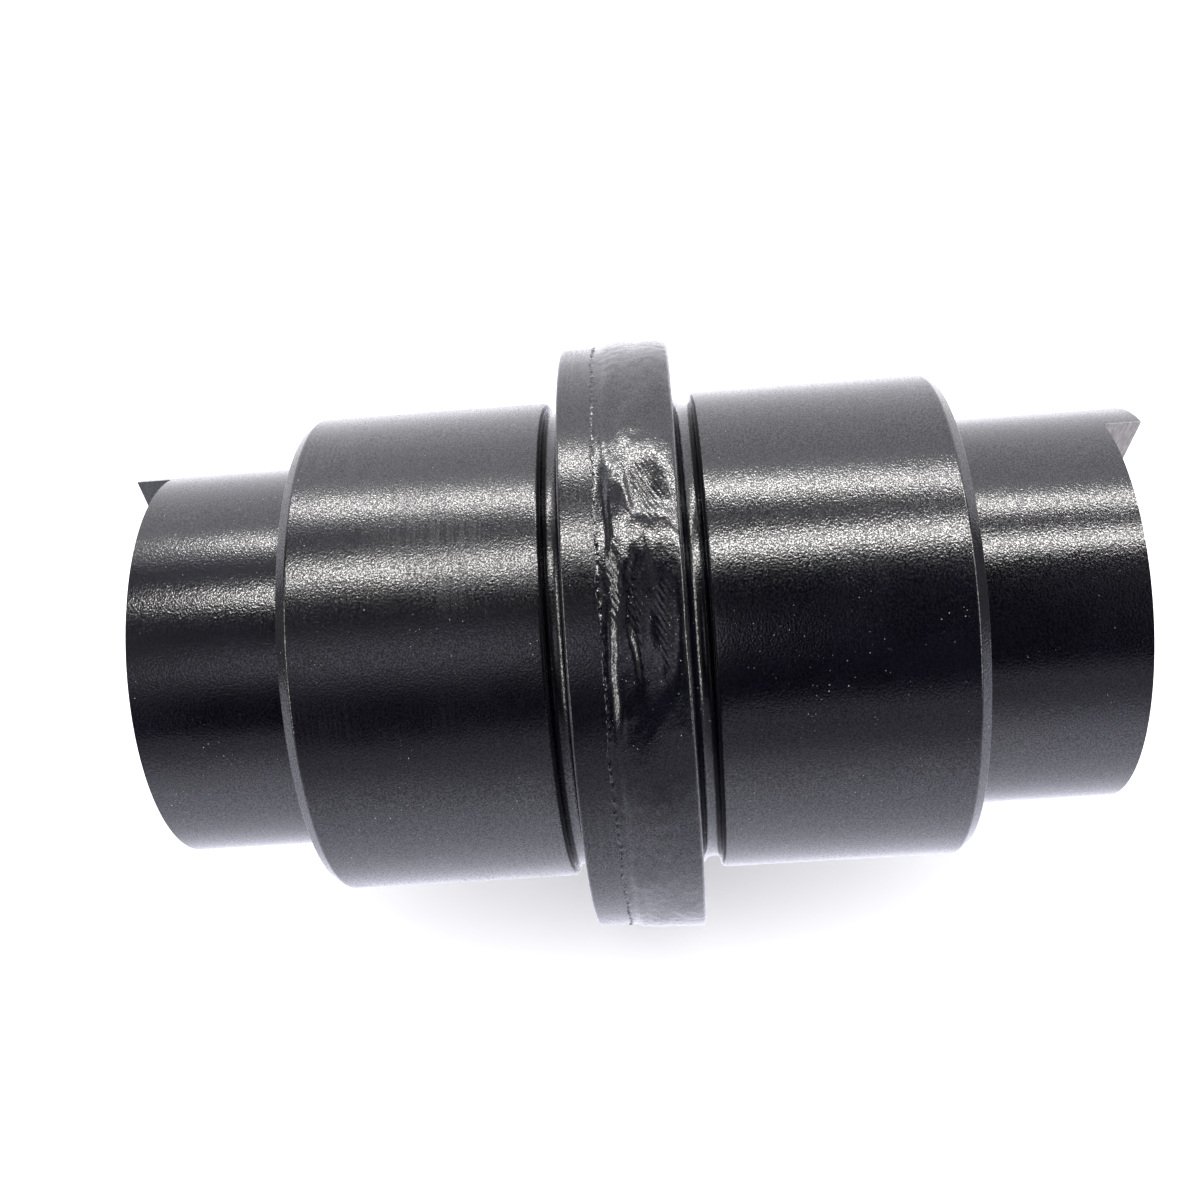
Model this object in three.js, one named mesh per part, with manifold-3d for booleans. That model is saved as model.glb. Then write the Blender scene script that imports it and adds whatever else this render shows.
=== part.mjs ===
// Track roller of a small crawler excavator: a welded two-half shell with a centre flange turns on two
// flanged bronze bushings round a fixed shaft. A collar on each end of the shaft carries the stationary
// half of a floating face seal and a lug that keeps the shaft from turning in the track frame.
//
// Millimetres, +Z up. The roller's axle lies along Y and the origin is at its middle. "Right" is +Y and
// "left" is -Y, as seen from +X.
import * as THREE from "three";
import { mergeVertices } from "three/addons/utils/BufferGeometryUtils.js";
import Module from "manifold-3d";

// ---- Driving dimensions. Distances along the axle are measured from the middle plane. ----
const TREAD_R = 55;
const SHELL_END = 70.2;
const FLANGE_R = 66.5;
const FLANGE_HALF = 11.8;
const FLANGE_DRAFT = 0.4; // the flange is this much wider on each side at its foot
const GROOVE_R = 52.4; // bottom of the round relief groove between flange and tread
const GROOVE_END = 16.2;
const GROOVE_FLANGE_ROUND = 2.4;
const GROOVE_TREAD_ROUND = 1.3;
const TREAD_INNER_ROUND = 1.2;
const END_CHAMFER = 2.3; // along the axle
const END_CHAMFER_DEPTH = 1.7;

const WELD_ROOT_R = 52; // bottom of the weld groove that joins the halves
const WELD_TOE = 4.8; // the weld's edge on the left half's lip
const WELD_SHELF_R = 63.5; // the right half's flange ends here, under the weld
const WELD_SHELF_START = 5;
const WELD_CROWN_R = 67.9;

const OIL_CAVITY_R = 32;
const OIL_CAVITY_HALF = 9;
const SHAFT_R = 20;
const SHAFT_END = 104;
const BUSHING_R = 25;
const BUSHING_START = 14;
const BUSHING_FLANGE_R = 31;
const BUSHING_FLANGE_START = 49.8;
const BUSHING_FLANGE_END = 54;

const COLLAR_R = 44.2;
const COLLAR_END = 104.5;
const COLLAR_RIM_START = 64.6;
const HUB_R = 29.2;
const SEAL_FACE = 64; // plane where the two seal rings of an end meet
const SEAL_HOUSING_R = 39.3;
const SEAL_DEPTH = 9.8; // from the seal face to the bottom of each housing
const SEAL_RING_DEPTH = 9;
const SEAL_RING_INNER_R = 30.2;
const SEAL_RING_OUTER_R = 38.2;
const TORIC_R = 36.2; // radius of the rubber ring's centre circle
const TORIC_SECTION_R = 2.9;
const TORIC_DEPTH = 6.1;
const LABYRINTH_R = 45.2; // the collar's rim turns inside this recess of the shell
const LABYRINTH_START = 63.2;

const SHAFT_ORING_AT = 80.2;
const SHAFT_ORING_R = 21.55;
const SHAFT_ORING_SECTION_R = 1.4;

const LUG_HEIGHT = 8;
const LUG_FLAT = 25; // distance from the axle's centre line to the lug's flat
// Each lug's middle, from +X towards +Z. The collars are pinned a little out of line with each other.
const LEFT_LUG_ANGLE = THREE.MathUtils.degToRad(164);
const RIGHT_LUG_ANGLE = THREE.MathUtils.degToRad(149);

const PIN_AT = 92;
const PIN_R = 4;
const PIN_INNER = 12; // distance from the centre line to the pin's inner end
const PIN_OUTER = 43.2;

const BOLT_HOLE_R = 8.75; // tapping size of an M20 thread
const BOLT_HOLE_DEPTH = 36;
const DRILL_POINT = 3;
const OIL_DRILL_R = 4;
const OIL_CROSS_R = 3;
const PLUG_R = 5;
const PLUG_LENGTH = 7;
const PLUG_SOCKET_R = 2.9;
const PLUG_SOCKET_DEPTH = 3.5;

const GAP = 0.2; // play left between pieces that touch
const RUNNING_GAP = 0.2; // bushing bore over the shaft
const BEVEL = 1.5;

const OUTER_SEGMENTS = 40;
const SHAFT_SEGMENTS = 36;
const SEAL_SEGMENTS = 24;
const ROUND_STEPS = 2;
const SECTION_STEPS = 6;

// ---- Materials ----
const steelBlackPaint = new THREE.MeshStandardMaterial({ color: 0x16161a, roughness: 0.28, metalness: 0.1 });
const weldBlackPaint = new THREE.MeshStandardMaterial({ color: 0x18181b, roughness: 0.32, metalness: 0.1 });
const machinedSteel = new THREE.MeshStandardMaterial({ color: 0xa6a8ab, roughness: 0.35, metalness: 0.95 });
const sealSteel = new THREE.MeshStandardMaterial({ color: 0x8d9096, roughness: 0.22, metalness: 0.95 });
const bronze = new THREE.MeshStandardMaterial({ color: 0xb98546, roughness: 0.38, metalness: 0.9 });
const rubber = new THREE.MeshStandardMaterial({ color: 0x1b1b1c, roughness: 0.75, metalness: 0 });
const springSteel = new THREE.MeshStandardMaterial({ color: 0x55565a, roughness: 0.4, metalness: 0.9 });
const platedSteel = new THREE.MeshStandardMaterial({ color: 0xb9b39a, roughness: 0.35, metalness: 0.9 });

// ---- Shape helpers ----

// A closed outline from corners [radius, height, rounding]: each corner with a rounding becomes an arc.
function outline(corners) {
  const points = [];
  corners.forEach(([r, y, round = 0], i) => {
    const corner = new THREE.Vector2(r, y);
    if (round === 0) {
      points.push(corner);
      return;
    }
    const before = new THREE.Vector2(...corners.at(i - 1)).sub(corner).normalize();
    const after = new THREE.Vector2(...corners[(i + 1) % corners.length]).sub(corner).normalize();
    const halfAngle = Math.acos(THREE.MathUtils.clamp(before.dot(after), -1, 1)) / 2;
    const reach = round / Math.tan(halfAngle);
    const start = corner.clone().addScaledVector(before, reach);
    const end = corner.clone().addScaledVector(after, reach);
    const bisector = before.clone().add(after).normalize();
    const centre = corner.clone().addScaledVector(bisector, round / Math.sin(halfAngle));
    const from = start.clone().sub(centre).angle();
    let turn = end.clone().sub(centre).angle() - from;
    if (turn > Math.PI) turn -= 2 * Math.PI;
    if (turn < -Math.PI) turn += 2 * Math.PI;
    for (let k = 0; k <= ROUND_STEPS; k++) {
      const a = from + (turn * k) / ROUND_STEPS;
      points.push(new THREE.Vector2(centre.x + round * Math.cos(a), centre.y + round * Math.sin(a)));
    }
  });
  return points;
}

// Corners run so that the outer side goes up; the left end's copy is the right one's mirror image.
function forSide(corners, side) {
  return side > 0 ? corners : corners.map(([r, y, round]) => [r, -y, round]).reverse();
}

// A ring, or a round bar where the outline starts and ends on the axis.
function revolved(corners, segments) {
  const points = outline(corners);
  if (points[0].x > 0) points.push(points[0].clone());
  return new THREE.LatheGeometry(points, segments);
}

function torus(radius, sectionRadius, height, segments) {
  const corners = [];
  for (let k = 0; k < SECTION_STEPS; k++) {
    const a = (2 * Math.PI * k) / SECTION_STEPS;
    corners.push([radius + sectionRadius * Math.cos(a), height + sectionRadius * Math.sin(a)]);
  }
  return revolved(corners, segments);
}

function lugAngle(side) {
  return side < 0 ? LEFT_LUG_ANGLE : RIGHT_LUG_ANGLE;
}

// A cylinder across the axle, between two distances from the centre line, in the direction at that angle.
function radialCylinder(radius, inner, outer, height, angle) {
  return new THREE.CylinderGeometry(radius, radius, outer - inner, 20)
    .rotateZ(-Math.PI / 2)
    .translate((inner + outer) / 2, height, 0)
    .rotateY(-angle);
}

const wasm = await Module();
wasm.setup();

function toSolid(geometry) {
  const bare = geometry.clone().deleteAttribute("normal").deleteAttribute("uv");
  const merged = mergeVertices(bare, 1e-3);
  const vertProperties = merged.attributes.position.array;
  const triVerts = new Uint32Array(merged.index.array);
  return new wasm.Manifold(new wasm.Mesh({ numProp: 3, vertProperties, triVerts }));
}

function cut(geometry, ...tools) {
  const solid = tools.reduce((rest, tool) => rest.subtract(toSolid(tool)), toSolid(geometry));
  const mesh = solid.getMesh();
  const result = new THREE.BufferGeometry();
  result.setAttribute("position", new THREE.BufferAttribute(mesh.vertProperties, 3));
  result.setIndex(new THREE.BufferAttribute(mesh.triVerts, 1));
  result.computeVertexNormals();
  return result;
}

function named(name, geometry, material) {
  const mesh = new THREE.Mesh(geometry, material);
  mesh.name = name;
  return mesh;
}

// ---- Shell: two forged halves and the weld that joins them ----

// The flange corners differ between the halves, because the weld covers the right half's rim.
function shellHalf(side) {
  const rim =
    side < 0
      ? [[FLANGE_R, WELD_TOE], [FLANGE_R, FLANGE_HALF, 0.8]]
      : [[WELD_SHELF_R, WELD_SHELF_START], [WELD_SHELF_R, FLANGE_HALF + 0.1]];
  const corners = [
    [BUSHING_R + GAP, OIL_CAVITY_HALF + 4],
    [OIL_CAVITY_R, OIL_CAVITY_HALF],
    [OIL_CAVITY_R, GAP / 2],
    [WELD_ROOT_R, GAP / 2],
    ...rim,
    [GROOVE_R, FLANGE_HALF + FLANGE_DRAFT, GROOVE_FLANGE_ROUND],
    [GROOVE_R, GROOVE_END, GROOVE_TREAD_ROUND],
    [TREAD_R, GROOVE_END, TREAD_INNER_ROUND],
    [TREAD_R, SHELL_END - END_CHAMFER],
    [TREAD_R - END_CHAMFER_DEPTH, SHELL_END],
    [LABYRINTH_R, SHELL_END],
    [LABYRINTH_R, LABYRINTH_START],
    [SEAL_HOUSING_R, LABYRINTH_START],
    [SEAL_HOUSING_R, SEAL_FACE - SEAL_DEPTH],
    [BUSHING_FLANGE_R + GAP, SEAL_FACE - SEAL_DEPTH],
    [BUSHING_FLANGE_R + GAP, BUSHING_FLANGE_START - GAP],
    [BUSHING_R + GAP, BUSHING_FLANGE_START - GAP],
  ];
  return revolved(forSide(corners, side), OUTER_SEGMENTS);
}

function weldBead() {
  const corners = [
    [WELD_ROOT_R + 1, -GAP / 4],
    [WELD_ROOT_R + 1, GAP / 4],
    [WELD_SHELF_R + GAP, WELD_SHELF_START - 0.2],
    [WELD_SHELF_R + GAP, FLANGE_HALF + 0.1],
    [WELD_SHELF_R + 1.4, FLANGE_HALF + 0.6],
    [WELD_CROWN_R - 0.9, FLANGE_HALF - 0.4],
    [WELD_CROWN_R, FLANGE_HALF - 3.4],
    [WELD_CROWN_R, -WELD_TOE + 4.2],
    [WELD_CROWN_R - 0.7, -WELD_TOE + 0.9],
    [FLANGE_R, -WELD_TOE + 0.4],
  ];
  return revolved(corners.toReversed(), OUTER_SEGMENTS);
}

function bushing(side) {
  const corners = [
    [SHAFT_R + RUNNING_GAP, BUSHING_START],
    [BUSHING_R, BUSHING_START],
    [BUSHING_R, BUSHING_FLANGE_START],
    [BUSHING_FLANGE_R, BUSHING_FLANGE_START],
    [BUSHING_FLANGE_R, BUSHING_FLANGE_END],
    [SHAFT_R + RUNNING_GAP + 0.8, BUSHING_FLANGE_END],
    [SHAFT_R + RUNNING_GAP, BUSHING_FLANGE_END - 0.8],
  ];
  return revolved(forSide(corners, side), SHAFT_SEGMENTS);
}

// ---- Floating face seals: a steel ring and a rubber toric in the shell, and the same in the collar ----

// toward is +1 where the ring's sealing face looks outwards along the axle, and -1 where it looks inwards.
function sealRing(side, toward) {
  const back = SEAL_FACE - toward * SEAL_RING_DEPTH;
  const face = SEAL_FACE - toward * (GAP / 2);
  const corners = [
    [SEAL_RING_INNER_R, back],
    [SEAL_RING_INNER_R + 2, back],
    [SEAL_RING_INNER_R + 3.2, SEAL_FACE - toward * 3.1],
    [SEAL_RING_OUTER_R, SEAL_FACE - toward * 2.6],
    [SEAL_RING_OUTER_R, face],
    [SEAL_RING_INNER_R + 1, face],
    [SEAL_RING_INNER_R, face - toward * 1.5],
  ];
  return revolved(forSide(toward > 0 ? corners : corners.toReversed(), side), SEAL_SEGMENTS);
}

function toric(side, toward) {
  return torus(TORIC_R, TORIC_SECTION_R, side * (SEAL_FACE - toward * TORIC_DEPTH), SEAL_SEGMENTS);
}

function shaftOring(side) {
  return torus(SHAFT_ORING_R, SHAFT_ORING_SECTION_R, side * SHAFT_ORING_AT, SEAL_SEGMENTS);
}

// ---- Axle: shaft, collars, pins and oil plug ----

function collar(side) {
  const sealBottom = SEAL_FACE + SEAL_DEPTH;
  const grooveHalf = SHAFT_ORING_SECTION_R + 0.6;
  const corners = [
    [SHAFT_R + GAP, BUSHING_FLANGE_END + GAP],
    [HUB_R, BUSHING_FLANGE_END + GAP],
    [HUB_R, sealBottom],
    [SEAL_HOUSING_R, sealBottom],
    [SEAL_HOUSING_R, COLLAR_RIM_START],
    [COLLAR_R, COLLAR_RIM_START],
    [COLLAR_R, COLLAR_END + LUG_HEIGHT],
    [SHAFT_R + GAP, COLLAR_END + LUG_HEIGHT],
    [SHAFT_R + GAP, SHAFT_ORING_AT + grooveHalf],
    [SHAFT_R + 3, SHAFT_ORING_AT + grooveHalf],
    [SHAFT_R + 3, SHAFT_ORING_AT - grooveHalf],
    [SHAFT_R + GAP, SHAFT_ORING_AT - grooveHalf],
  ];
  const blank = revolved(forSide(corners, side), OUTER_SEGMENTS);
  // Milling the end down to the seat for the frame plate leaves the lug standing on one side.
  const size = 3 * COLLAR_R;
  const milled = new THREE.BoxGeometry(size, 2 * LUG_HEIGHT, size)
    .translate(LUG_FLAT - size / 2, side * (COLLAR_END + LUG_HEIGHT), 0)
    .rotateY(-lugAngle(side));
  const pinHole = radialCylinder(PIN_R + GAP, SHAFT_R - BEVEL, COLLAR_R + BEVEL, side * PIN_AT, lugAngle(side));
  return cut(blank, milled, pinHole);
}

function shaft() {
  const holeBottom = SHAFT_END - BOLT_HOLE_DEPTH;
  const plugEnd = holeBottom - PLUG_LENGTH - DRILL_POINT;
  const corners = [
    [0, DRILL_POINT],
    [OIL_DRILL_R, DRILL_POINT - 2],
    [OIL_DRILL_R, -plugEnd + 2],
    [PLUG_R + GAP, -plugEnd],
    [PLUG_R + GAP, -holeBottom + 1],
    [BOLT_HOLE_R, -holeBottom],
    [BOLT_HOLE_R, -SHAFT_END + BEVEL],
    [BOLT_HOLE_R + BEVEL, -SHAFT_END],
    [SHAFT_R - BEVEL, -SHAFT_END],
    [SHAFT_R, -SHAFT_END + BEVEL],
    [SHAFT_R, SHAFT_END - BEVEL],
    [SHAFT_R - BEVEL, SHAFT_END],
    [BOLT_HOLE_R + BEVEL, SHAFT_END],
    [BOLT_HOLE_R, SHAFT_END - BEVEL],
    [BOLT_HOLE_R, holeBottom],
    [0, holeBottom - DRILL_POINT],
  ];
  const bar = revolved(corners, SHAFT_SEGMENTS);
  const crossDrill = radialCylinder(OIL_CROSS_R, -OIL_DRILL_R / 2, SHAFT_R + BEVEL, 0, LEFT_LUG_ANGLE);
  const pinHoles = [-1, 1].map((side) =>
    radialCylinder(PIN_R + GAP, PIN_INNER - GAP, SHAFT_R + BEVEL, side * PIN_AT, lugAngle(side)),
  );
  return cut(bar, crossDrill, ...pinHoles);
}

function retainingPin(side) {
  return radialCylinder(PIN_R, PIN_INNER, PIN_OUTER, side * PIN_AT, lugAngle(side));
}

// A screw plug at the bottom of the left bolt hole closes the oil drilling.
function oilPlug() {
  const outer = -(SHAFT_END - BOLT_HOLE_DEPTH) + 0.5;
  const body = new THREE.CylinderGeometry(PLUG_R, PLUG_R, PLUG_LENGTH, 24).translate(0, outer + PLUG_LENGTH / 2, 0);
  const socket = new THREE.CylinderGeometry(PLUG_SOCKET_R, PLUG_SOCKET_R, 2 * PLUG_SOCKET_DEPTH, 6);
  return cut(body, socket.translate(0, outer, 0));
}

// ---- Assembly: what turns and what stands still ----
const roller = new THREE.Group();
roller.add(named("weld_bead", weldBead(), weldBlackPaint));

const axle = new THREE.Group();
axle.add(named("shaft", shaft(), machinedSteel));
axle.add(named("oil_plug", oilPlug(), platedSteel));

for (const [end, side] of [["left", -1], ["right", 1]]) {
  roller.add(
    named(`shell_half_${end}`, shellHalf(side), steelBlackPaint),
    named(`bushing_${end}`, bushing(side), bronze),
    named(`turning_seal_ring_${end}`, sealRing(side, 1), sealSteel),
    named(`turning_toric_${end}`, toric(side, 1), rubber),
  );
  axle.add(
    named(`collar_${end}`, collar(side), steelBlackPaint),
    named(`fixed_seal_ring_${end}`, sealRing(side, -1), sealSteel),
    named(`fixed_toric_${end}`, toric(side, -1), rubber),
    named(`shaft_oring_${end}`, shaftOring(side), rubber),
    named(`retaining_pin_${end}`, retainingPin(side), springSteel),
  );
}

const trackRoller = new THREE.Group();
trackRoller.add(axle, roller);
export default trackRoller;
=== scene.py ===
"""The looks of a track roller for a small crawler excavator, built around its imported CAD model.

Sizes are in millimetres, apart from those of the camera and the surroundings, and meshes are made in metres.
The axle lies along Y. Every CAD node is replaced by a finer mesh of the same piece, because the CAD solids
have few facets.
"""

import math

import bmesh
import bpy
import numpy as np
from mathutils import Euler, Matrix, Vector, noise


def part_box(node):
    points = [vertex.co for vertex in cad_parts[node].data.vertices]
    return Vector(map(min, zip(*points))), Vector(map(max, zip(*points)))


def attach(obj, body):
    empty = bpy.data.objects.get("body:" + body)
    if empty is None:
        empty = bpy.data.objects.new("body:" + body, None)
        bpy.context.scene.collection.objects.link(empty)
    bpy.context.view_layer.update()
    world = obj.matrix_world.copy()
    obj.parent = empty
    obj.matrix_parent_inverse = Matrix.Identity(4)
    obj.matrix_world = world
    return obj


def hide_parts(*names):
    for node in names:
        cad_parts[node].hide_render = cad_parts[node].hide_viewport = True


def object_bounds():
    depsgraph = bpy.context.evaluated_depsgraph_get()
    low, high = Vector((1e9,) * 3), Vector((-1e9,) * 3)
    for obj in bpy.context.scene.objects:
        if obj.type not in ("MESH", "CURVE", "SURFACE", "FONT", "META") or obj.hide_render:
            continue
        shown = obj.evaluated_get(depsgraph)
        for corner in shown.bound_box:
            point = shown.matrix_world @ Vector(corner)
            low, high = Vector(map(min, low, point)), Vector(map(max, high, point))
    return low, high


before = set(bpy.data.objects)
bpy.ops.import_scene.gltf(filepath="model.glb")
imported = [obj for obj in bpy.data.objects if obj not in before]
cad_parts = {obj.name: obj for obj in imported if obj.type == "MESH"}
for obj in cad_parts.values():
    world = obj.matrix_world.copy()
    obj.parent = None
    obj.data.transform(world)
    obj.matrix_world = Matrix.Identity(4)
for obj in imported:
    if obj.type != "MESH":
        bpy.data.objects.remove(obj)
cad_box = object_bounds()

MM = 0.001
SIDES = (("left", -1), ("right", 1))


def outer_radius(node):
    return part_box(node)[1].z / MM


def far_end(node):
    low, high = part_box(node)
    return max(abs(low.y), abs(high.y)) / MM


def near_end(node):
    low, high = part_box(node)
    return min(abs(low.y), abs(high.y)) / MM


# ---- Sizes that the frame gives ----
FLANGE_R = outer_radius("shell_half_left")
SHELL_END = far_end("shell_half_left")
SHELL_START = near_end("shell_half_left")
WELD_SHELF_R = outer_radius("shell_half_right")
WELD_CROWN_R = outer_radius("weld_bead")
COLLAR_R = outer_radius("collar_right")
COLLAR_START = near_end("collar_right")
LUG_END = far_end("collar_right")
SHAFT_R = outer_radius("shaft")
SHAFT_END = far_end("shaft")
BUSHING_FLANGE_R = outer_radius("bushing_right")
BUSHING_START = near_end("bushing_right")
BUSHING_END = far_end("bushing_right")
SEAL_RING_R = outer_radius("fixed_seal_ring_right")
PLUG_R = outer_radius("oil_plug")
PLUG_START = near_end("oil_plug")
PLUG_END = far_end("oil_plug")

# ---- Sizes repeated from the part's source ----
TREAD_R = 55
FLANGE_HALF = 11.8
FLANGE_DRAFT = 0.4
GROOVE_R = 52.4
GROOVE_END = 16.2
GROOVE_FLANGE_ROUND = 2.4
GROOVE_TREAD_ROUND = 1.3
TREAD_INNER_ROUND = 1.2
END_CHAMFER = 2.3
END_CHAMFER_DEPTH = 1.7
WELD_ROOT_R = 52
WELD_TOE = 4.8
WELD_SHELF_START = 5
OIL_CAVITY_R = 32
OIL_CAVITY_HALF = 9
BUSHING_R = 25
BUSHING_FLANGE_START = 49.8
COLLAR_END = 104.5
COLLAR_RIM_START = 64.6
HUB_R = 29.2
SEAL_FACE = 64
SEAL_HOUSING_R = 39.3
SEAL_DEPTH = 9.8
SEAL_RING_DEPTH = 9
SEAL_RING_INNER_R = 30.2
TORIC_R = 36.2
TORIC_SECTION_R = 2.9
TORIC_DEPTH = 6.1
LABYRINTH_R = 45.2
LABYRINTH_START = 63.2
SHAFT_ORING_AT = 80.2
SHAFT_ORING_R = 21.55
SHAFT_ORING_SECTION_R = 1.4
LUG_FLAT = 25
LUG_ANGLES = {-1: math.radians(164), 1: math.radians(149)}
PIN_AT = 92
PIN_R = 4
PIN_INNER = 12
PIN_OUTER = 43.2
BOLT_HOLE_R = 8.75
BOLT_HOLE_DEPTH = 36
DRILL_POINT = 3
OIL_DRILL_R = 4
OIL_CROSS_R = 3
PLUG_SOCKET_R = 2.9
PLUG_SOCKET_DEPTH = 3.5
GAP = 0.2
RUNNING_GAP = 0.2
BEVEL = 1.5

# ---- Fineness ----
OUTER_SEGMENTS = 288
INNER_SEGMENTS = 144
PLUG_SEGMENTS = 96
PIN_SEGMENTS = 64
RUBBER_SECTION_SEGMENTS = 24
WELD_SEGMENTS = 960
WELD_ROWS = 80
ROUND_STEPS = 6
WHOLE = 60  # a spacing so long that an outline keeps only its own points

# ---- Thread of the bolt holes: M20, 2.5 mm pitch ----
THREAD_PITCH = 2.5
THREAD_DEPTH = 1.35
THREAD_LENGTH = 30
THREAD_FLAT = 0.1
ROWS_PER_PITCH = 8

# ---- Weld ----
WELD_END = FLANGE_HALF + 0.05
BROAD_PASS_AT = 5.4
BROAD_PASS_HALF = 7.5
NARROW_PASS_AT = -1.2
NARROW_PASS_HALF = 3.2
SCORE_PITCH = 1.1
SCORE_SLOPE = 0.55
# Stretches that were reworked: degrees round from the front, half length in degrees, amount.
WELD_REWORKED = (
    (50, 32, 1.0),
    (205, 40, 0.7),
)
# Hollows: degrees round from the front, height along the axle, half length, half width, depth.
WELD_DENTS = (
    (58, 6.0, 5.5, 2.0, 0.7),
    (42, -2.4, 6.5, 1.6, 0.6),
    (38, 2.4, 8, 1.3, 0.5),
    (35, 7.6, 9, 1.4, 0.55),
    (196, 5, 7, 2.5, 0.7),
)

# ---- Camera: lens and sensor in millimetres, distances in metres, angles in degrees ----
LENS = 41.0
SENSOR = 36
CAMERA_ELEVATION = 34
CAMERA_DISTANCE = 0.3218
CAMERA_ALONG_AXLE = 0.0085
CAMERA_TURN = (1.278, 2.994, -3.866)

# ---- Surroundings, in metres ----
WORLD_COLOUR = (0.94, 0.94, 1.0)
WORLD_STRENGTH = 2.1
FLOOR_HALF = 12
FLOOR_GLOW = 0.35
LIGHT_COLOUR = (1, 0.98, 0.95)
LIGHT_DISTANCE = 1.1
STRIP_LENGTH = 1.65
STRIP_SHIFT = 0.375
SIDE_LIGHT_AT = (0.52, 0.8, 0.3)
SIDE_LIGHT_WIDTH = 1.2
SIDE_LIGHT_LENGTH = 0.3
SIDE_CARD_AT = (0.8, 0.9, 0.9)
SIDE_CARD_GLOW = 0.25
ROOM_R = 4
ROOM_TOP = 97
TABLE_START = -0.5
FRONT_CARD_BLUE = 1.15


# ======== Meshes ========

def outline(corners):
    """Corners (radius, height[, rounding]) of an outline as points, with each rounding as an arc."""
    points = []
    for i, (r, y, *rounding) in enumerate(corners):
        corner = Vector((r, y))
        if not rounding:
            points.append(corner)
            continue
        before = (Vector(corners[i - 1][:2]) - corner).normalized()
        after = (Vector(corners[(i + 1) % len(corners)][:2]) - corner).normalized()
        half = before.angle(after) / 2
        reach = rounding[0] / math.tan(half)
        centre = corner + (before + after).normalized() * (rounding[0] / math.sin(half))
        start = corner + before * reach - centre
        turn = start.angle_signed(corner + after * reach - centre)
        for k in range(ROUND_STEPS + 1):
            a = -turn * k / ROUND_STEPS
            points.append(centre + Matrix.Rotation(a, 2) @ start)
    return points


def subdivided(points, spacing, closed):
    """The outline with points added so that none of its stretches is longer than spacing."""
    following = points[1:] + points[:1] if closed else points[1:]
    result = []
    for a, b in zip(points, following):
        steps = max(1, math.ceil((b - a).length / spacing))
        result += [a.lerp(b, k / steps) for k in range(steps)]
    return result if closed else result + points[-1:]


def for_side(corners, side):
    """The outline as it is on the right, or mirrored for the left."""
    if side > 0:
        return corners
    return [(r, -y, *rounding) for r, y, *rounding in reversed(corners)]


def ring_mesh(rows, closed):
    """Rows of points in millimetres, each row a loop, joined by quads; closed joins the last to the first."""
    count, segments = rows.shape[:2]
    ids = np.arange(count * segments).reshape(count, segments)
    upper = np.roll(ids, -1, axis=0) if closed else ids[1:]
    lower = ids if closed else ids[:-1]
    quads = np.stack([lower, upper, np.roll(upper, -1, axis=1), np.roll(lower, -1, axis=1)], axis=-1)
    mesh = bpy.data.meshes.new("ring")
    mesh.from_pydata((rows.reshape(-1, 3) * MM).tolist(), [], quads.reshape(-1, 4).tolist())
    bm = bmesh.new()
    bm.from_mesh(mesh)
    bpy.data.meshes.remove(mesh)
    bmesh.ops.remove_doubles(bm, verts=bm.verts, dist=1e-7)
    bmesh.ops.recalc_face_normals(bm, faces=bm.faces)
    return bm


def lathe(corners, segments=INNER_SEGMENTS, spacing=4, shape=None):
    """A body of revolution about Y, solid if its outline starts and ends on the axis, or else a ring.

    shape(r, y, angle) may move each point in r.
    """
    points = outline(corners)
    closed = points[0].x > 0
    points = subdivided(points, spacing, closed)
    angle = np.linspace(0, 2 * math.pi, segments, endpoint=False)
    r = np.array([[p.x] for p in points]) * np.ones(segments)
    y = np.array([[p.y] for p in points]) * np.ones(segments)
    if shape:
        r = shape(r, y, angle)
    return ring_mesh(np.stack([r * np.cos(angle), y, r * np.sin(angle)], axis=-1), closed)


def radial_cylinder(radius, inner, outer, height, angle, chamfer=0):
    """A cylinder that points away from the axle at that angle, from one distance from the axis to another."""
    corners = [
        (0, inner),
        (radius - chamfer, inner),
        (radius, inner + chamfer),
        (radius, outer - chamfer),
        (radius - chamfer, outer),
        (0, outer),
    ]
    bm = lathe(corners, PIN_SEGMENTS)
    turn = Matrix.Translation((0, height * MM, 0)) @ Matrix.Rotation(-angle, 4, "Y")
    bmesh.ops.transform(bm, matrix=turn @ Matrix.Rotation(-math.pi / 2, 4, "Z"), verts=bm.verts)
    return bm


def to_object(bm, name):
    mesh = bpy.data.meshes.new(name)
    bm.to_mesh(mesh)
    bm.free()
    obj = bpy.data.objects.new(name, mesh)
    bpy.context.scene.collection.objects.link(obj)
    return obj


def apply_modifiers(obj):
    evaluated = obj.evaluated_get(bpy.context.evaluated_depsgraph_get())
    mesh = bpy.data.meshes.new_from_object(evaluated)
    obj.modifiers.clear()
    old = obj.data
    obj.data = mesh
    bpy.data.meshes.remove(old)


def cut(obj, cutters):
    """Takes each cutter's shape out of obj and removes the cutter."""
    tools = [to_object(bm, "cutter") for bm in cutters]
    for tool in tools:
        modifier = obj.modifiers.new("cut", "BOOLEAN")
        modifier.operation = "DIFFERENCE"
        modifier.solver = "EXACT"
        modifier.object = tool
    apply_modifiers(obj)
    for tool in tools:
        bpy.data.objects.remove(tool)


def soften(obj, width):
    """Rounds the sharp edges, then shades the piece smooth with large faces kept flat."""
    bevel = obj.modifiers.new("bevel", "BEVEL")
    bevel.width = width * MM
    bevel.segments = 3
    bevel.limit_method = "ANGLE"
    bevel.angle_limit = math.radians(30)
    bevel.use_clamp_overlap = True
    apply_modifiers(obj)
    smooth(obj)


def smooth(obj, angle=40):
    obj.data.shade_smooth()
    obj.data.set_sharp_from_angle(angle=math.radians(angle))
    weighted = obj.modifiers.new("weighted", "WEIGHTED_NORMAL")
    weighted.keep_sharp = True


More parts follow.
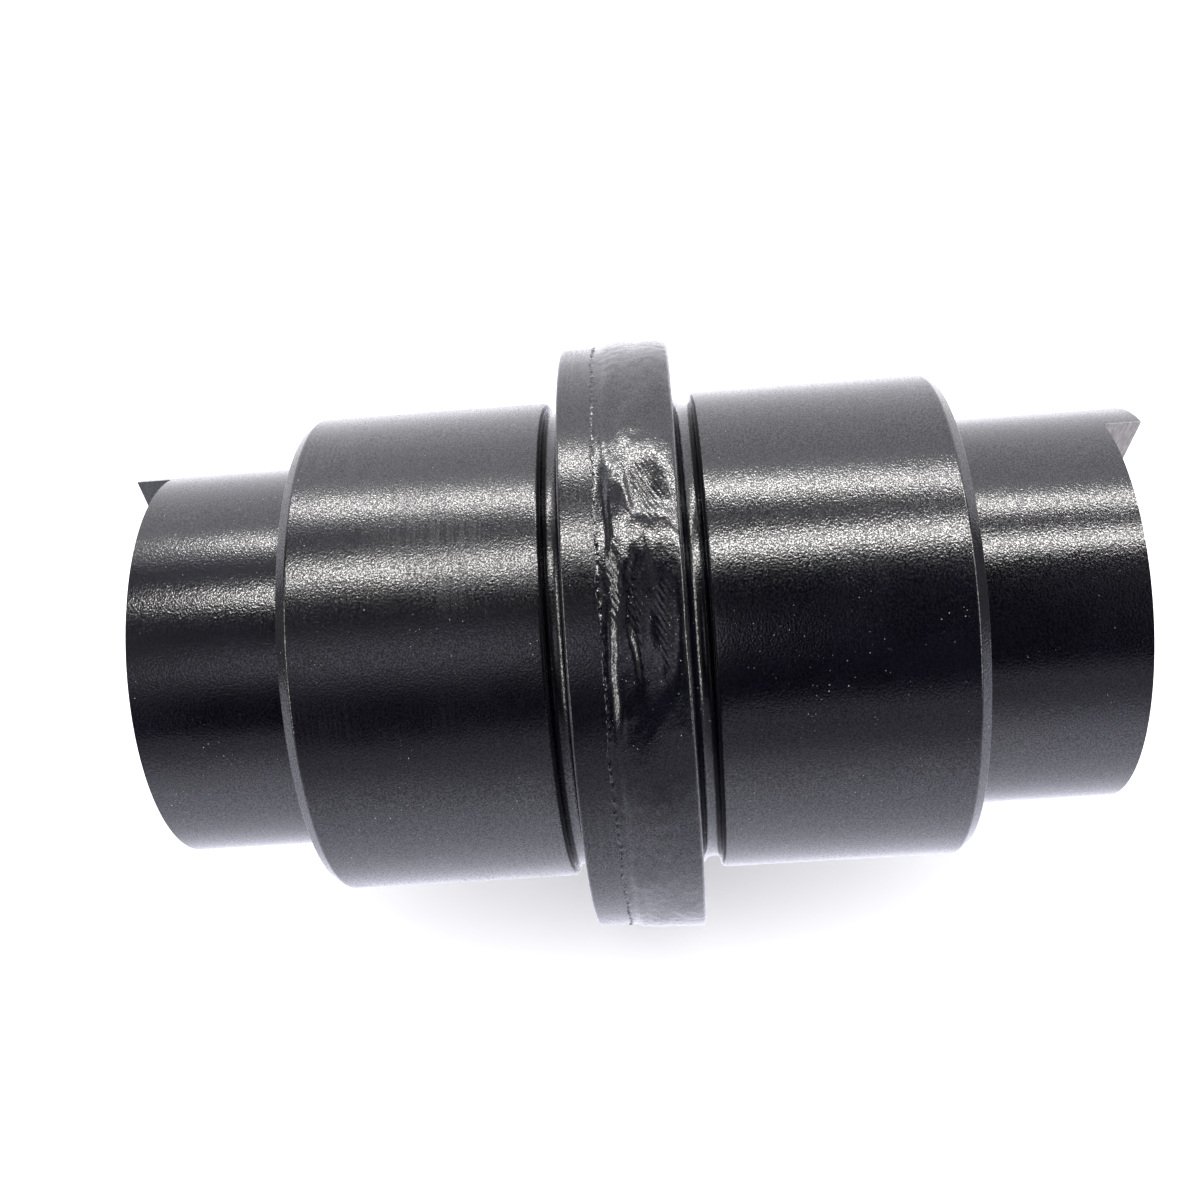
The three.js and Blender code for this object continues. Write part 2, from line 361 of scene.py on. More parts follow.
def piece(obj, node, body, material):
    """Makes obj the visible mesh of a CAD node."""
    obj.name = obj.data.name = node + "_fine"
    obj.data.materials.clear()
    obj.data.materials.append(material)
    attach(obj, body)
    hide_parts(node)


# ======== Materials ========

def new_material(name):
    material = bpy.data.materials.new(name)
    material.use_nodes = True
    tree = material.node_tree
    return material, tree, tree.nodes["Principled BSDF"]


def node(tree, kind, inputs=None, **settings):
    """A shader node with its settings, and its inputs set to values or linked to sockets."""
    made = tree.nodes.new(kind)
    for key, value in settings.items():
        setattr(made, key, value)
    for key, value in (inputs or {}).items():
        if isinstance(value, bpy.types.NodeSocket):
            tree.links.new(value, made.inputs[key])
        else:
            made.inputs[key].default_value = value
    return made


def position(tree, scale=(1, 1, 1)):
    """The point in millimetres, in the part's frame, times scale."""
    coordinates = node(tree, "ShaderNodeTexCoord")
    mapping = node(tree, "ShaderNodeMapping", {"Vector": coordinates.outputs["Object"]})
    mapping.inputs["Scale"].default_value = [s / MM for s in scale]
    return mapping.outputs["Vector"]


def noise_field(tree, vector, scale, detail=2.0, roughness=0.5):
    return node(tree, "ShaderNodeTexNoise", {
        "Vector": vector, "Scale": scale, "Detail": detail, "Roughness": roughness,
    }).outputs["Fac"]


def ramp(tree, value, low, high, to_low=0.0, to_high=1.0):
    """A smooth step: to_low where the value is under low, to_high where it is over high."""
    return node(tree, "ShaderNodeMapRange", {
        "Value": value, "From Min": low, "From Max": high, "To Min": to_low, "To Max": to_high,
    }, interpolation_type="SMOOTHSTEP").outputs["Result"]


def math_node(tree, operation, *values):
    made = node(tree, "ShaderNodeMath", operation=operation)
    for socket, value in zip(made.inputs, values):
        if isinstance(value, bpy.types.NodeSocket):
            tree.links.new(value, socket)
        else:
            socket.default_value = value
    return made.outputs["Value"]


def mixed(tree, factor, a, b):
    mix = node(tree, "ShaderNodeMix", {"Factor": factor}, data_type="RGBA")
    for socket, colour in ((mix.inputs["A"], a), (mix.inputs["B"], b)):
        if isinstance(colour, bpy.types.NodeSocket):
            tree.links.new(colour, socket)
        else:
            socket.default_value = (*colour, 1)
    return mix.outputs["Result"]


def bump(tree, height, distance, normal=None):
    inputs = {"Height": height, "Distance": distance * MM, "Strength": 1.0}
    if normal:
        inputs["Normal"] = normal
    return node(tree, "ShaderNodeBump", inputs).outputs["Normal"]


def turning_coordinate(tree):
    """A coordinate that grows along the axle and outwards, so that lathe marks run round on every face."""
    x, y, z = node(tree, "ShaderNodeSeparateXYZ", {"Vector": position(tree)}).outputs
    squared = math_node(tree, "ADD", math_node(tree, "MULTIPLY", x, x), math_node(tree, "MULTIPLY", z, z))
    change_round = 0.02
    return node(tree, "ShaderNodeCombineXYZ", {
        "X": math_node(tree, "ADD", y, math_node(tree, "SQRT", squared)),
        "Y": math_node(tree, "MULTIPLY", x, change_round),
        "Z": math_node(tree, "MULTIPLY", z, change_round),
    }).outputs["Vector"]


def black_enamel(name, marks=0.0, roughness=0.1, painted_sheen_mask=None):
    """Sprayed black enamel: orange peel, a fine grit that sparkles in the highlights, and specks of dust.

    Lathe marks show through in patches, as lines of duller paint. The sheen mask gives paler, streaky paint:
    a painted sheen that lightens the surface as a reflection would, drawn like rubbed paint.
    """
    material, tree, shader = new_material(name)
    place = position(tree)
    waves = bump(tree, noise_field(tree, place, 0.12, detail=1), 0.05)
    peel = noise_field(tree, place, 2.2, detail=1, roughness=0.6)
    tree.links.new(bump(tree, peel, 0.045, normal=waves), shader.inputs["Normal"])

    grit = noise_field(tree, place, 3.1, detail=0)
    rough = ramp(tree, grit, 0.42, 0.62, roughness, roughness + 0.13)
    gloss = ramp(tree, grit, 0.35, 0.65, 0.7, 0.36)
    if marks:
        lines = ramp(tree, noise_field(tree, turning_coordinate(tree), 2.0, detail=0), 0.42, 0.58)
        patches = ramp(tree, noise_field(tree, place, 0.05), 0.47, 0.62)
        dull = math_node(tree, "MULTIPLY", lines, patches)
        rough = math_node(tree, "ADD", rough, math_node(tree, "MULTIPLY", dull, marks))
        gloss = math_node(tree, "SUBTRACT", gloss, math_node(tree, "MULTIPLY", dull, marks))
    tree.links.new(rough, shader.inputs["Roughness"])
    tree.links.new(gloss, shader.inputs["Specular IOR Level"])

    dust = ramp(tree, noise_field(tree, place, 2.6, detail=0), 0.83, 0.86)
    dusty = ramp(tree, noise_field(tree, place, 0.07, detail=2), 0.5, 0.65)
    cloud = noise_field(tree, place, 0.05, detail=4)
    black = mixed(tree, ramp(tree, cloud, 0.3, 0.7), (0.0009, 0.0008, 0.0026), (0.0022, 0.002, 0.0048))
    colour = mixed(tree, math_node(tree, "MULTIPLY", dust, dusty), black, (0.32, 0.32, 0.33))
    # Painted sheen: where masked, a paler streaky colour lightens the paint as a reflection would.
    if painted_sheen_mask:
        streaks = ramp(tree, noise_field(tree, position(tree, (0.2, 1, 0.2)), 1.6, detail=3), 0.3, 0.7)
        streaky_sheen_colour = mixed(tree, streaks, (0.12, 0.105, 0.1), (0.24, 0.214, 0.206))
        colour = mixed(tree, painted_sheen_mask(tree), colour, streaky_sheen_colour)
    tree.links.new(colour, shader.inputs["Base Color"])
    shader.inputs["IOR"].default_value = 1.52
    return material


def right_lug_flat(tree):
    """1 on the flat that is milled across the right collar's lug, 0 elsewhere."""
    place = position(tree)
    outwards = (math.cos(LUG_ANGLES[1]), 0, math.sin(LUG_ANGLES[1]))
    product = node(tree, "ShaderNodeVectorMath", {0: place, 1: outwards}, operation="DOT_PRODUCT")
    distance = product.outputs["Value"]
    height = node(tree, "ShaderNodeSeparateXYZ", {"Vector": place}).outputs["Y"]
    on_flat = ramp(tree, distance, LUG_FLAT + 0.1, LUG_FLAT + 0.5, 1, 0)
    past_collar = ramp(tree, height, COLLAR_END + 0.2, COLLAR_END + 0.6)
    return math_node(tree, "MULTIPLY", on_flat, past_collar)


def turned_metal(name, dark, light, roughness, marks=0.02, pitch=2.2):
    """Bare machined metal: fine rings, a faint oil film and small changes of tone."""
    material, tree, shader = new_material(name)
    place = position(tree)
    lines = noise_field(tree, turning_coordinate(tree), pitch, detail=3, roughness=0.65)
    film = noise_field(tree, place, 0.12, detail=4, roughness=0.6)
    tree.links.new(bump(tree, lines, marks), shader.inputs["Normal"])
    tree.links.new(mixed(tree, ramp(tree, film, 0.3, 0.7), dark, light), shader.inputs["Base Color"])
    tree.links.new(ramp(tree, lines, 0.2, 0.8, roughness - 0.06, roughness + 0.1), shader.inputs["Roughness"])
    shader.inputs["Metallic"].default_value = 1.0
    return material


def black_rubber():
    material, tree, shader = new_material("nitrile_rubber")
    place = position(tree)
    skin = noise_field(tree, place, 3.0, detail=3)
    bloom = noise_field(tree, place, 0.15, detail=3)
    tree.links.new(bump(tree, skin, 0.03), shader.inputs["Normal"])
    tree.links.new(mixed(tree, ramp(tree, bloom, 0.35, 0.75), (0.012, 0.012, 0.013), (0.03, 0.03, 0.031)),
                   shader.inputs["Base Color"])
    tree.links.new(ramp(tree, skin, 0.3, 0.7, 0.5, 0.72), shader.inputs["Roughness"])
    return material


# ======== Shell ========

def shell_half(side):
    if side < 0:
        rim = [(FLANGE_R, WELD_TOE), (FLANGE_R, FLANGE_HALF, 0.7)]
    else:
        rim = [(WELD_SHELF_R, WELD_SHELF_START), (WELD_SHELF_R, FLANGE_HALF + 0.1)]
    corners = [
        (BUSHING_R + GAP, OIL_CAVITY_HALF + 4),
        (OIL_CAVITY_R, OIL_CAVITY_HALF),
        (OIL_CAVITY_R, SHELL_START),
        (WELD_ROOT_R, SHELL_START),
        *rim,
        (GROOVE_R, FLANGE_HALF + FLANGE_DRAFT, GROOVE_FLANGE_ROUND),
        (GROOVE_R, GROOVE_END, GROOVE_TREAD_ROUND),
        (TREAD_R, GROOVE_END, TREAD_INNER_ROUND),
        (TREAD_R, SHELL_END - END_CHAMFER, 1.0),
        (TREAD_R - END_CHAMFER_DEPTH, SHELL_END, 0.4),
        (LABYRINTH_R, SHELL_END, 0.4),
        (LABYRINTH_R, LABYRINTH_START),
        (SEAL_HOUSING_R, LABYRINTH_START, 0.5),
        (SEAL_HOUSING_R, SEAL_FACE - SEAL_DEPTH, 0.6),
        (BUSHING_FLANGE_R + GAP, SEAL_FACE - SEAL_DEPTH),
        (BUSHING_FLANGE_R + GAP, BUSHING_FLANGE_START - GAP),
        (BUSHING_R + GAP, BUSHING_FLANGE_START - GAP),
    ]
    obj = to_object(lathe(for_side(corners, side), OUTER_SEGMENTS, spacing=2.5), "shell")
    smooth(obj)
    return obj


def wander(angle, period, seed):
    """Smooth noise from -1 to 1 that closes on itself round the roller; period is in degrees."""
    k = 360 / period / (2 * math.pi)
    return np.array([noise.noise(Vector((k * math.cos(a), k * math.sin(a), seed))) * 2 for a in angle])


def surface_noise(angle, height, size, seed, stretch=1.0):
    """Noise over the weld's surface, with features of that size in mm; stretch makes them longer round it."""
    k = 1 / size
    ring = WELD_CROWN_R / stretch
    return np.array([
        [
            noise.noise(Vector((k * ring * math.cos(a), k * ring * math.sin(a), k * h + seed)))
            for a, h in zip(angle, row)
        ]
        for row in height
    ])


def gaussian(x, width):
    return np.exp(-(x / width) ** 2)


def reworked(angle):
    """How much the weld was reworked: from 0 where it is smooth to 1 in the middle of such a stretch."""
    degrees = np.degrees(angle)
    amount = sum(share * gaussian(degrees - at, half) for at, half, share in WELD_REWORKED)
    return np.clip(amount, 0, 1)


def weld_toe(angle):
    """Height along the axle of the weld's ragged left edge."""
    return -WELD_TOE - 0.4 + 0.25 * wander(angle, 9, seed=3.1) + 0.15 * wander(angle, 2.2, seed=5.7)


def weld_crown(angle, height):
    """Radius of the weld's top: a broad pass over the right edge of a narrow one, with lumps and folds."""
    drift = 1.6 * wander(angle, 50, seed=11.9)
    top = WELD_CROWN_R - 0.3 + 0.25 * wander(angle, 28, seed=29.7)
    broad = top - 0.75 * np.abs((height - BROAD_PASS_AT - drift) / BROAD_PASS_HALF) ** 2.5
    narrow = top - 0.55 - 1.3 * np.abs((height - NARROW_PASS_AT + 0.5 * drift) / NARROW_PASS_HALF) ** 2
    lumps = 0.35 * surface_noise(angle, height, 8, seed=47.0, stretch=2)
    ripples = 0.05 * surface_noise(angle, height, 1.6, seed=53.0, stretch=1.4)
    warp = 2.2 * surface_noise(angle, height, 9, seed=71.0, stretch=1.5)
    folds = np.tanh(7 * surface_noise(angle, height + warp, 6, seed=83.0, stretch=3.5))
    return np.maximum(broad, narrow) + lumps + ripples + (0.07 + 0.3 * reworked(angle)) * folds


def weld_dents(angle, height):
    """Depth of the hollows, which have slanting score marks in them."""
    total = np.zeros(height.shape)
    for at, height_at, length, width, depth in WELD_DENTS:
        around = (angle - math.radians(at)) * WELD_CROWN_R
        scores = np.sin((around * SCORE_SLOPE + height) * 2 * math.pi / SCORE_PITCH)
        total += gaussian(around, length) * gaussian(height - height_at, width) * depth * (1 + 0.16 * scores)
    return total


def weld_profile(angle):
    """Height along the axle and radius of the weld's outer surface, row by row from its left toe."""
    toe = weld_toe(angle)
    height = toe + (WELD_END - toe) * np.linspace(0, 1, WELD_ROWS)[:, None]
    crown = weld_crown(angle, height) - weld_dents(angle, height)

    from_toe = height - toe
    rise = np.clip((from_toe - 0.5) / 3.0, 0, 1)
    rise = rise * rise * (3 - 2 * rise)
    foot = FLANGE_R - 0.12 + 0.2 * np.clip(from_toe / 0.3, 0, 1) - 0.12 * gaussian(from_toe - 2, 1.2)
    crumbs = 0.5 * gaussian(from_toe - 0.45, 0.35) * surface_noise(angle, height, 0.7, seed=61.0)
    end_rounding = 0.8 * (1 - np.clip((WELD_END - height) / 0.8, 0, 1)) ** 2.4
    radius = foot + (crown - foot) * rise + crumbs - end_rounding
    return height, np.minimum(radius, WELD_CROWN_R - 0.02)


def weld_bead():
    """Two overlapping passes of weld over the middle of the flange, with a crumbly toe on the left."""
    angle = np.linspace(0, 2 * math.pi, WELD_SEGMENTS, endpoint=False)
    height, radius = weld_profile(angle)
    inside = np.array([
        (WELD_SHELF_R + GAP, FLANGE_HALF + 0.1),
        (WELD_SHELF_R + GAP, WELD_SHELF_START - 0.2),
        (WELD_ROOT_R + 1, GAP / 4),
        (WELD_ROOT_R + 1, -GAP / 4),
        (FLANGE_R - 0.4, -WELD_TOE + 0.2),
    ])
    around = np.ones(WELD_SEGMENTS)
    r = np.vstack([radius, inside[:, :1] * around])
    y = np.vstack([height, inside[:, 1:] * around])
    bead = ring_mesh(np.stack([r * np.cos(angle), y, r * np.sin(angle)], axis=-1), True)
    obj = to_object(bead, "weld")
    smooth(obj, 50)
    return obj


# ======== Axle ========

def collar(side):
    seal_bottom = SEAL_FACE + SEAL_DEPTH
    groove_half = SHAFT_ORING_SECTION_R + 0.6
    corners = [
        (SHAFT_R + GAP, COLLAR_START),
        (HUB_R, COLLAR_START),
        (HUB_R, seal_bottom),
        (SEAL_HOUSING_R, seal_bottom),
        (SEAL_HOUSING_R, COLLAR_RIM_START),
        (COLLAR_R, COLLAR_RIM_START),
        (COLLAR_R, LUG_END),
        (SHAFT_R + GAP, LUG_END),
        (SHAFT_R + GAP, SHAFT_ORING_AT + groove_half),
        (SHAFT_R + 3, SHAFT_ORING_AT + groove_half),
        (SHAFT_R + 3, SHAFT_ORING_AT - groove_half),
        (SHAFT_R + GAP, SHAFT_ORING_AT - groove_half),
    ]
    obj = to_object(lathe(for_side(corners, side), OUTER_SEGMENTS, spacing=WHOLE), "collar")
    cut(obj, [milling(side), pin_hole(side, SHAFT_R - BEVEL, COLLAR_R + BEVEL)])
    soften(obj, 0.45)
    return obj


def pin_hole(side, inner, outer):
    return radial_cylinder(PIN_R + GAP, inner, outer, side * PIN_AT, LUG_ANGLES[side])


def milling(side):
    """The block of metal milled off the collar's end, which leaves the lug."""
    size = 3 * COLLAR_R
    depth = 2 * (LUG_END - COLLAR_END)
    middle = Vector((LUG_FLAT - size / 2, side * (COLLAR_END + depth / 2), 0))
    bm = bmesh.new()
    bmesh.ops.create_cube(bm, size=1)
    turn = Matrix.Rotation(-LUG_ANGLES[side], 4, "Y")
    scale = Matrix.Diagonal((size * MM, depth * MM, size * MM, 1))
    bmesh.ops.transform(bm, matrix=turn @ Matrix.Translation(middle * MM) @ scale, verts=bm.verts)
    return bm


def shaft():
    """The drilled axle; its bolt holes have rows of points close enough together to carry the thread."""
    hole_bottom = SHAFT_END - BOLT_HOLE_DEPTH
    plug_end = hole_bottom - (PLUG_END - PLUG_START) - DRILL_POINT
    thread_rows = SHAFT_END - np.arange(BEVEL, THREAD_LENGTH + THREAD_PITCH, THREAD_PITCH / ROWS_PER_PITCH)
    corners = [
        (0, DRILL_POINT),
        (OIL_DRILL_R, DRILL_POINT - 2),
        (OIL_DRILL_R, -plug_end + 2),
        (PLUG_R + GAP, -plug_end),
        (PLUG_R + GAP, -hole_bottom + 1),
        (BOLT_HOLE_R, -hole_bottom),
        *((BOLT_HOLE_R, -y) for y in thread_rows[::-1]),
        (BOLT_HOLE_R + BEVEL, -SHAFT_END),
        (SHAFT_R - BEVEL, -SHAFT_END, 0.3),
        (SHAFT_R, -SHAFT_END + BEVEL, 0.3),
        (SHAFT_R, SHAFT_END - BEVEL, 0.3),
        (SHAFT_R - BEVEL, SHAFT_END, 0.3),
        (BOLT_HOLE_R + BEVEL, SHAFT_END),
        *((BOLT_HOLE_R, y) for y in thread_rows),
        (BOLT_HOLE_R, hole_bottom),
        (0, hole_bottom - DRILL_POINT),
    ]
    obj = to_object(lathe(corners, INNER_SEGMENTS, shape=bolt_threads), "shaft")
    cross = radial_cylinder(OIL_CROSS_R, -OIL_DRILL_R / 2, SHAFT_R + BEVEL, 0, LUG_ANGLES[-1])
    cut(obj, [cross, *(pin_hole(side, PIN_INNER - GAP, SHAFT_R + BEVEL) for _, side in SIDES)])
    smooth(obj)
    return obj


def bolt_threads(r, y, angle):
    """Cuts a right-hand thread into the walls of the bolt holes, fading in at the mouth and out at depth."""
    wall = np.abs(r - BOLT_HOLE_R) < 1e-6
    from_mouth = SHAFT_END - np.abs(y)
    fade = np.clip((from_mouth - BEVEL) / 1.0, 0, 1) * np.clip((THREAD_LENGTH - from_mouth) / 2.0, 0, 1)
    turns = from_mouth / THREAD_PITCH + np.sign(y) * angle / (2 * math.pi)
    triangle = np.abs((turns % 1) * 2 - 1)
    profile = np.clip((triangle - THREAD_FLAT) / (1 - 2 * THREAD_FLAT), 0, 1)
    return r + wall * fade * THREAD_DEPTH * profile


def bushing(side):
    bore = SHAFT_R + RUNNING_GAP
    corners = [
        (bore, BUSHING_START + 0.6),
        (bore + 0.6, BUSHING_START),
        (BUSHING_R - 0.6, BUSHING_START),
        (BUSHING_R, BUSHING_START + 0.6),
        (BUSHING_R, BUSHING_FLANGE_START, 0.3),
        (BUSHING_FLANGE_R, BUSHING_FLANGE_START, 0.3),
        (BUSHING_FLANGE_R, BUSHING_END, 0.4),
        (bore + 0.8, BUSHING_END),
        (bore, BUSHING_END - 0.8),
    ]
    obj = to_object(lathe(for_side(corners, side)), "bushing")
    smooth(obj, 25)
    return obj


def seal_ring(side, toward):
    """A metal seal ring: toward is 1 for the one inside the shell and -1 for the one in the collar."""
    back = SEAL_FACE - toward * SEAL_RING_DEPTH
    face = SEAL_FACE - toward * (GAP / 2)
    corners = [
        (SEAL_RING_INNER_R, back, 0.4),
        (SEAL_RING_INNER_R + 2, back, 0.6),
        (SEAL_RING_INNER_R + 3.2, SEAL_FACE - toward * 3.1, 0.8),
        (SEAL_RING_R, SEAL_FACE - toward * 2.6, 0.4),
        (SEAL_RING_R, face, 0.3),
        (SEAL_RING_INNER_R + 1, face),
        (SEAL_RING_INNER_R, face - toward * 1.5),
    ]
    obj = to_object(lathe(for_side(corners if toward > 0 else corners[::-1], side)), "seal_ring")
    smooth(obj, 25)
    return obj


def rubber_ring(radius, section_radius, height):
    corners = [
        (radius + section_radius * math.cos(a), height + section_radius * math.sin(a))
        for a in np.linspace(0, 2 * math.pi, RUBBER_SECTION_SEGMENTS, endpoint=False)
    ]
    obj = to_object(lathe(corners), "rubber_ring")
    smooth(obj)
    return obj


def retaining_pin(side):
    pin = radial_cylinder(PIN_R, PIN_INNER, PIN_OUTER, side * PIN_AT, LUG_ANGLES[side], chamfer=0.7)
    obj = to_object(pin, "pin")
    smooth(obj, 25)
    return obj


def oil_plug():
    """The screw plug at the bottom of the left bolt hole, with a hexagon socket."""
    body = [
        (0, -PLUG_START),
        (PLUG_R - 0.8, -PLUG_START),
        (PLUG_R, -PLUG_START - 0.8),
        (PLUG_R, -PLUG_END + 0.5),
        (PLUG_R - 0.5, -PLUG_END),
        (0, -PLUG_END),
    ]
    socket = [
        (0, -PLUG_END + PLUG_SOCKET_DEPTH),
        (PLUG_SOCKET_R, -PLUG_END + PLUG_SOCKET_DEPTH),
        (PLUG_SOCKET_R, -PLUG_END - 1),
        (0, -PLUG_END - 1),
    ]
    obj = to_object(lathe(body, PLUG_SEGMENTS), "plug")
    cut(obj, [lathe(socket, 6, spacing=WHOLE)])
    soften(obj, 0.15)
    return obj


# ======== Stage ========

def unit_from_side(degrees):
    """The direction at that height above the horizon on the camera's side; past 90 it leans to the back."""
    a = math.radians(degrees)
    return Vector((math.cos(a), 0, math.sin(a)))


def facing(back, right):
    """The rotation of an object that looks away from back, with its own X axis towards right."""
    return Matrix((right, back.cross(right), back)).transposed()


def soft_light(name, direction, width, length, radiance, slant=0, shift=0):
    """A rectangular light that faces the roller, only seen reflected.

    Its length lies along the axle, turned by slant degrees, and its middle is shifted that far to the right.
    """
    data = bpy.data.lights.new(name, "AREA")
    data.shape = "RECTANGLE"
    data.size = width
    data.size_y = length
    data.energy = radiance * width * length * math.pi
    data.color = LIGHT_COLOUR
    light = bpy.data.objects.new(name, data)
    bpy.context.scene.collection.objects.link(light)
    across = direction.cross(Vector((0, 1, 0))).normalized()
    turned = facing(direction, across) @ Matrix.Rotation(math.radians(slant), 3, "Z")
    light.rotation_euler = turned.to_euler()
    light.location = direction * LIGHT_DISTANCE + turned @ Vector((0, -shift, 0))
    light.visible_diffuse = False
    light.visible_camera = False


def strip_light(name, degrees, width_degrees, radiance, slant=0):
    """A long light over the roller, which stops short on the left, so that the left collar is dimmer."""
    width = 2 * LIGHT_DISTANCE * math.tan(math.radians(width_degrees / 2))
    soft_light(name, unit_from_side(degrees), width, STRIP_LENGTH, radiance, slant, STRIP_SHIFT)


def side_light(name, side, radiance):
    """An upright light off to one side, which draws a bright line along every rounded edge."""
    x, y, z = SIDE_LIGHT_AT
    soft_light(name, Vector((x, side * y, z)).normalized(), SIDE_LIGHT_WIDTH, SIDE_LIGHT_LENGTH, radiance)


def fall(x, edge, softness):
    """A soft step from 1 before the edge to 0 past it."""
    return 1 / (1 + math.exp(min(60, (x - edge) / softness)))


def table_glow(x, y):
    """How bright the table in front of the roller looks in reflections: it falls off to a slanting edge."""
    near = math.exp(-(max(0.0, x - 0.07) / 0.1) ** 2)
    edge = 0.5 + 9 * max(0.0, y + 0.12)
    return (0.45 + 1.25 * near) * fall(x, edge, 0.02)


def room_glow(elevation, y):
    """How bright the room behind the camera looks: black, with a dim patch on the left, and grey overhead."""
    patch = 1.1 * fall(y, 0, 0.08) * math.exp(-((elevation - 31) / 10) ** 2)
    overhead = 0.5 * (1 - fall(elevation, 64, 1.5))
    return patch + overhead


def front_card():
    """What the roller's front reflects: the lit table and the dark room. Only reflections see it."""
    ground = cad_box[0].z + 0.0005
    table = [(x, ground) for x in (TABLE_START, 0, *np.geomspace(0.06, ROOM_R, 90))]
    room = [(ROOM_R * unit_from_side(elevation)).xz for elevation in range(ROOM_TOP + 1)]
    stations = [math.copysign(abs(t) ** 3, t) * ROOM_R for t in np.linspace(-1, 1, 161)]
    bm = bmesh.new()
    glow = bm.loops.layers.float_color.new("glow")
    rows = [[bm.verts.new((x, y, z)) for x, z in table + room] for y in stations]
    for near, far in zip(rows, rows[1:]):
        for k in range(len(near) - 1):
            face = bm.faces.new((near[k], near[k + 1], far[k + 1], far[k]))
            on_table = k + 1 < len(table)
            for loop in face.loops:
                x, y, z = loop.vert.co
                value = table_glow(x, y) if on_table else room_glow(math.degrees(math.atan2(z, x)), y)
                loop[glow] = (value, value, value * FRONT_CARD_BLUE, 1)
    card = to_object(bm, "front_card")
    card.data.materials.append(glowing_material("front_card", attribute="glow"))
    only_reflected(card)


def side_card(name, side):
    """A grey card beyond one end of the roller. Only reflections see it."""
    bm = bmesh.new()
    bmesh.ops.create_grid(bm, x_segments=1, y_segments=1, size=1)
    card = to_object(bm, name)
    card.rotation_euler.x = math.pi / 2
    x, y, z = SIDE_CARD_AT
    card.location = (x, side * y, z)
    card.data.materials.append(glowing_material(name, strength=SIDE_CARD_GLOW))
    only_reflected(card)


def glowing_material(name, strength=1.0, attribute=None):
    """A material that only emits: white, or in the mesh's own colours from that attribute."""
    material, tree, shader = new_material(name)
    inputs = {"Strength": strength, "Color": (1, 1, 1, 1)}
    if attribute:
        inputs["Color"] = node(tree, "ShaderNodeAttribute", attribute_name=attribute).outputs["Color"]
    emission = node(tree, "ShaderNodeEmission", inputs)
    tree.links.new(emission.outputs["Emission"], tree.nodes["Material Output"].inputs["Surface"])
    tree.nodes.remove(shader)
    return material


def only_reflected(obj):
    obj.visible_camera = False
    obj.visible_diffuse = False
    obj.visible_shadow = False


def floor():
    bm = bmesh.new()
    bmesh.ops.create_grid(bm, x_segments=1, y_segments=1, size=FLOOR_HALF)
    obj = to_object(bm, "floor")
    obj.location.z = cad_box[0].z - 0.0002
    material, tree, shader = new_material("pale_floor")
    tone = noise_field(tree, position(tree), 0.002, detail=2)
    tree.links.new(mixed(tree, tone, (0.86, 0.86, 0.86), (0.9, 0.9, 0.9)), shader.inputs["Base Color"])
    shader.inputs["Roughness"].default_value = 0.9
    shader.inputs["Emission Color"].default_value = (1, 1, 1, 1)
    shader.inputs["Emission Strength"].default_value = FLOOR_GLOW
    obj.data.materials.append(material)


def surroundings():
    world = bpy.data.worlds.new("studio")
    world.use_nodes = True
    background = world.node_tree.nodes["Background"]
    background.inputs["Color"].default_value = (*WORLD_COLOUR, 1)
    background.inputs["Strength"].default_value = WORLD_STRENGTH
    bpy.context.scene.world = world
    bpy.context.scene.view_settings.view_transform = "Standard"


def camera():
    data = bpy.data.cameras.new("camera")
    data.lens = LENS
    data.sensor_width = SENSOR
    data.clip_start = 0.01
    data.clip_end = 50
    obj = bpy.data.objects.new("camera", data)
    bpy.context.scene.collection.objects.link(obj)
    back = unit_from_side(CAMERA_ELEVATION)
    turn = Euler([math.radians(a) for a in CAMERA_TURN]).to_matrix()
    place = (facing(back, Vector((0, 1, 0))) @ turn).to_4x4()
    place.translation = back * CAMERA_DISTANCE + Vector((0, CAMERA_ALONG_AXLE, 0))
    obj.matrix_world = place
    bpy.context.scene.camera = obj


# ======== Assembly ========

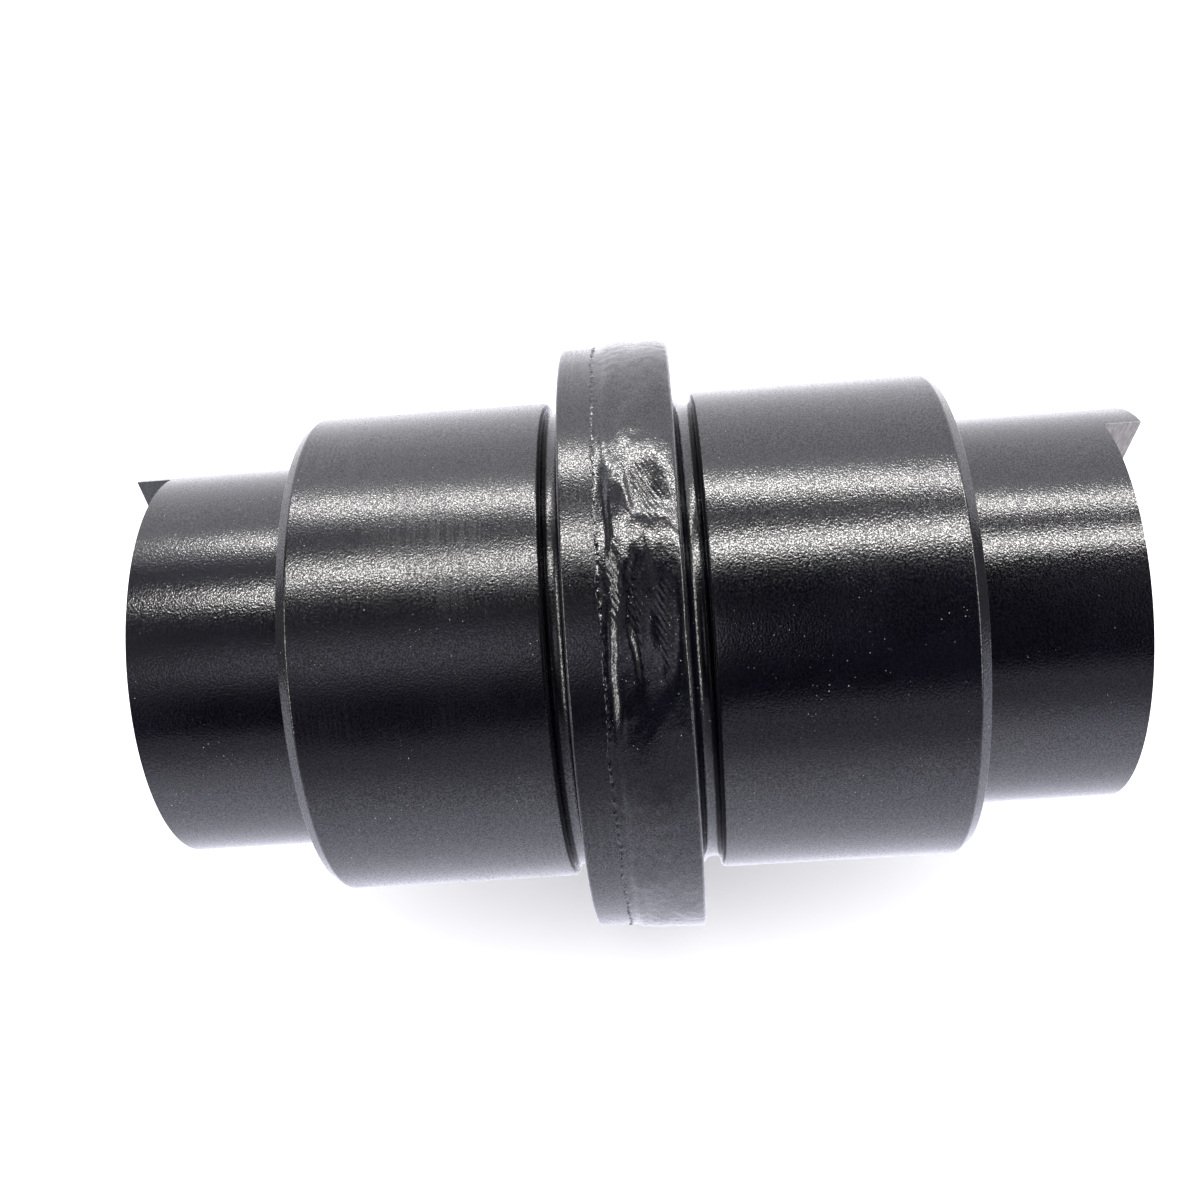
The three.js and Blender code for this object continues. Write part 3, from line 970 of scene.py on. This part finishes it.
def build():
    shell_paints = {
        "left": black_enamel("left_shell_enamel", marks=0.06, roughness=0.14),
        "right": black_enamel("right_shell_enamel", marks=0.02),
    }
    weld_paint = black_enamel("weld_enamel", roughness=0.11)
    collar_paints = {
        "left": black_enamel("left_collar_enamel"),
        # The right lug's flat gets a painted sheen of paler, streaky paint.
        "right": black_enamel("right_collar_enamel", painted_sheen_mask=right_lug_flat),
    }
    shaft_steel = turned_metal("turned_steel", (0.2, 0.2, 0.205), (0.3, 0.3, 0.3), 0.32)
    seal_iron = turned_metal("lapped_iron", (0.38, 0.39, 0.41), (0.5, 0.51, 0.53), 0.2, marks=0.006, pitch=5)
    bronze = turned_metal("bronze", (0.52, 0.33, 0.14), (0.68, 0.46, 0.22), 0.34)
    pin_steel = turned_metal("pin_steel", (0.05, 0.05, 0.053), (0.09, 0.09, 0.094), 0.42)
    plated = turned_metal("plated_steel", (0.5, 0.47, 0.36), (0.66, 0.63, 0.52), 0.3)
    rubber = black_rubber()

    piece(weld_bead(), "weld_bead", "roller", weld_paint)
    piece(shaft(), "shaft", "axle", shaft_steel)
    piece(oil_plug(), "oil_plug", "axle", plated)
    for end, side in SIDES:
        piece(shell_half(side), f"shell_half_{end}", "roller", shell_paints[end])
        piece(bushing(side), f"bushing_{end}", "roller", bronze)
        piece(seal_ring(side, 1), f"turning_seal_ring_{end}", "roller", seal_iron)
        piece(rubber_ring(TORIC_R, TORIC_SECTION_R, side * (SEAL_FACE - TORIC_DEPTH)),
              f"turning_toric_{end}", "roller", rubber)
        piece(collar(side), f"collar_{end}", "axle", collar_paints[end])
        piece(seal_ring(side, -1), f"fixed_seal_ring_{end}", "axle", seal_iron)
        piece(rubber_ring(TORIC_R, TORIC_SECTION_R, side * (SEAL_FACE + TORIC_DEPTH)),
              f"fixed_toric_{end}", "axle", rubber)
        piece(rubber_ring(SHAFT_ORING_R, SHAFT_ORING_SECTION_R, side * SHAFT_ORING_AT),
              f"shaft_oring_{end}", "axle", rubber)
        piece(retaining_pin(side), f"retaining_pin_{end}", "axle", pin_steel)


camera()
build()
floor()
front_card()
side_card("left_card", -1)
side_card("right_card", 1)
strip_light("upper_strip", 99.5, 5.5, 26, slant=-16)
strip_light("front_strip", 69.9, 6.4, 25)
side_light("left_light", -1, 9)
side_light("right_light", 1, 9)
surroundings()
